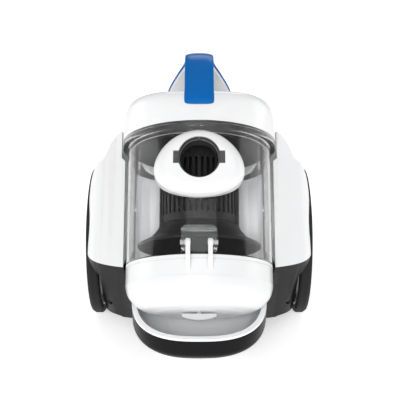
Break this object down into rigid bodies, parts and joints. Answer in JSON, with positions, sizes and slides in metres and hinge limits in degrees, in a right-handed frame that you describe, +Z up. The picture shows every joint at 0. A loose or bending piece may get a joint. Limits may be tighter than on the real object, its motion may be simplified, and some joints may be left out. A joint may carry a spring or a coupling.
{
  "type": "canister vacuum cleaner",
  "caption": "Bagless canister vacuum with a reclined clear dust bin, blue carrying handle, front hose inlet, hinged bin door, side wheels and a front castor.",
  "frame": {"origin": "on the floor, below the centre of the machine's bounding box", "axes": "+Z up, the front (hose inlet, bin and bumper) towards -Y, +X to the right as seen from the front; left and right in names are as seen from the front"},
  "size_m": [0.2546, 0.348, 0.318],
  "materials": {
    "white_shell": "gloss",
    "blue_handle": "gloss",
    "dark_panel": "satin",
    "black_plastic": "satin",
    "clear_cup": "gloss",
    "grey_plastic": "satin",
    "tyre_rubber": "matte",
    "soft_rubber": "matte",
    "steel": "satin",
    "winding": "satin",
    "filter_foam": "matte",
    "filter_paper": "matte"
  },
  "bodies": {
    "chassis": {"lower_chassis": "black_plastic", "front_cradle": "white_shell", "front_bumper": "black_plastic", "bin_bay": "white_shell", "rear_shell": "white_shell", "exhaust_filter": "filter_paper", "cord_outlet": "black_plastic", "side_shell_left": "white_shell", "side_shell_right": "white_shell", "side_skirt_left": "dark_panel", "side_skirt_right": "dark_panel", "skirt_screw_left": "steel", "skirt_screw_right": "steel", "axle_stub_left": "steel", "axle_stub_right": "steel", "motor_can": "steel", "motor_stator": "winding", "fan_cover": "steel", "motor_mount_outer": "soft_rubber", "motor_mount_inner": "soft_rubber", "motor_inlet_seal": "soft_rubber", "power_switch": "dark_panel", "reel_bracket": "dark_panel", "reel_spring": "steel"},
    "wheel_left": {"tyre_left": "tyre_rubber", "wheel_disc_left": "black_plastic", "hub_cap_left": "black_plastic"},
    "wheel_right": {"tyre_right": "tyre_rubber", "wheel_disc_right": "black_plastic", "hub_cap_right": "black_plastic"},
    "castor": {"castor_fork": "black_plastic"},
    "castor_roller": {"castor_wheel": "tyre_rubber", "castor_pin": "steel"},
    "motor_armature": {"motor_rotor": "steel", "suction_fan": "grey_plastic"},
    "cord_reel": {"cord_drum": "dark_panel"},
    "cord_brake": {"reel_brake": "dark_panel"},
    "power_button": {"power_pedal": "blue_handle"},
    "rewind_button": {"rewind_pedal": "blue_handle"},
    "rear_grille": {"exhaust_grille": "dark_panel"},
    "bin": {"dust_cup": "clear_cup", "inlet_collar": "white_shell", "hinge_bracket": "clear_cup", "hinge_pin_left": "grey_plastic", "hinge_pin_right": "grey_plastic"},
    "lid": {"bin_lid": "white_shell", "lid_gasket": "soft_rubber", "separator_plate": "dark_panel", "filter_frame": "dark_panel", "filter_foam": "filter_foam", "shroud": "dark_panel", "shroud_skirt": "dark_panel", "vortex_finder": "dark_panel", "handle_skin": "blue_handle", "handle_core": "white_shell"},
    "door": {"bin_door": "white_shell", "door_gasket": "soft_rubber"},
    "door_latch": {"latch_button": "grey_plastic", "latch_spring": "steel"}
  },
  "joints": [
    {"name": "wheel_left_spin", "type": "hinge", "parent": "chassis", "child": "wheel_left", "pos_m": [-0.118, 0.019, 0.086], "axis": [1, 0, 0], "continuous": true},
    {"name": "wheel_right_spin", "type": "hinge", "parent": "chassis", "child": "wheel_right", "pos_m": [0.118, 0.019, 0.086], "axis": [1, 0, 0], "continuous": true},
    {"name": "castor_swivel", "type": "hinge", "parent": "chassis", "child": "castor", "pos_m": [0, -0.092, 0.03], "axis": [0, 0, 1], "continuous": true},
    {"name": "castor_roll", "type": "hinge", "parent": "castor", "child": "castor_roller", "pos_m": [0, -0.078, 0.014], "axis": [1, 0, 0], "continuous": true},
    {"name": "motor_spin", "type": "hinge", "parent": "chassis", "child": "motor_armature", "pos_m": [-0.047, 0.052, 0.088], "axis": [1, 0, 0], "continuous": true},
    {"name": "reel_spin", "type": "hinge", "parent": "chassis", "child": "cord_reel", "pos_m": [0.039, 0.076, 0.092], "axis": [1, 0, 0], "continuous": true},
    {"name": "power_press", "type": "slide", "parent": "chassis", "child": "power_button", "axis": [0, -0.6157, -0.788], "range_m": [0, 0.004], "stiffness_N_per_m": 700, "springref_m": -0.002},
    {"name": "rewind_press", "type": "slide", "parent": "chassis", "child": "rewind_button", "axis": [0, -0.6157, -0.788], "range_m": [0, 0.004], "stiffness_N_per_m": 700, "springref_m": -0.002},
    {"name": "brake_release", "type": "slide", "parent": "chassis", "child": "cord_brake", "axis": [0, 0, 1], "range_m": [0, 0.002]},
    {"name": "grille_pull", "type": "slide", "parent": "chassis", "child": "rear_grille", "axis": [0, 1, 0], "range_m": [0, 0.04]},
    {"name": "bin_lift", "type": "slide", "parent": "chassis", "child": "bin", "axis": [0, 0.6691, 0.7431], "range_m": [0, 0.3]},
    {"name": "lid_lift", "type": "slide", "parent": "bin", "child": "lid", "axis": [0, 0.6691, 0.7431], "range_m": [0, 0.14]},
    {"name": "door_swing", "type": "hinge", "parent": "bin", "child": "door", "pos_m": [0, -0.15165, 0.18362], "axis": [-1, 0, 0], "range_deg": [0, 85]},
    {"name": "latch_press", "type": "slide", "parent": "door", "child": "door_latch", "axis": [0, 0.6691, 0.7431], "range_m": [0, 0.0015], "stiffness_N_per_m": 300, "springref_m": -0.002, "deforming": ["latch_spring"]}
  ],
  "couplings": [
    {"joint": "door_swing", "follows": "bin_lift", "rad_per_m": 4.9393},
    {"joint": "brake_release", "follows": "rewind_press", "ratio": 0.5}
  ]
}
